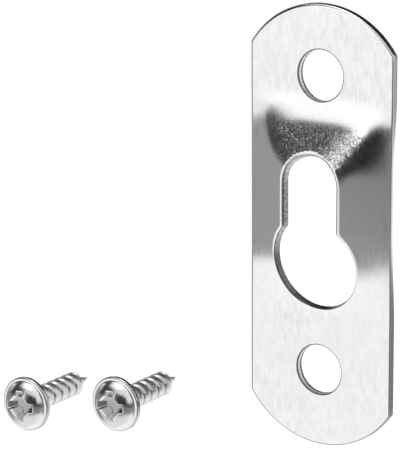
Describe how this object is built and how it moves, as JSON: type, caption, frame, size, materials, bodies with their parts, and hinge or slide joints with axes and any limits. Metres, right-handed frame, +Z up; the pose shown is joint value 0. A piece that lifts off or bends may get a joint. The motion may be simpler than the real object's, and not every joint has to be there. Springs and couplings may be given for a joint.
{
  "type": "keyhole hanger",
  "caption": "Stamped steel picture hanger: flat rounded ends with screw holes, a raised middle with a keyhole slot, and loose washer-head screws with coarse threads.",
  "frame": {"origin": "on the plate's flat back plane, on its middle line, midway between the screw holes", "axes": "+Z up along the plate towards the hole above the slot's narrow end, +Y into the frame that the plate's back rests on, +X to the right seen from the front"},
  "size_m": [0.0371, 0.0151, 0.044],
  "materials": {
    "plate_steel": "bright plated sheet steel with fine rolling lines",
    "screw_steel": "bright nickel-plated steel"
  },
  "bodies": {
    "plate": {"hanger_plate": "plate_steel"},
    "upper_screw": {"upper_screw": "screw_steel"},
    "lower_screw": {"lower_screw": "screw_steel"}
  },
  "joints": [
    {"name": "upper_screw_carry", "type": "slide", "parent": "plate", "child": "upper_screw", "axis": [0.6107, 0, 0.7918], "range_m": [0, 0.04306]},
    {"name": "lower_screw_carry", "type": "slide", "parent": "plate", "child": "lower_screw", "axis": [0.9846, 0, 0.1749], "range_m": [0, 0.01544]}
  ]
}
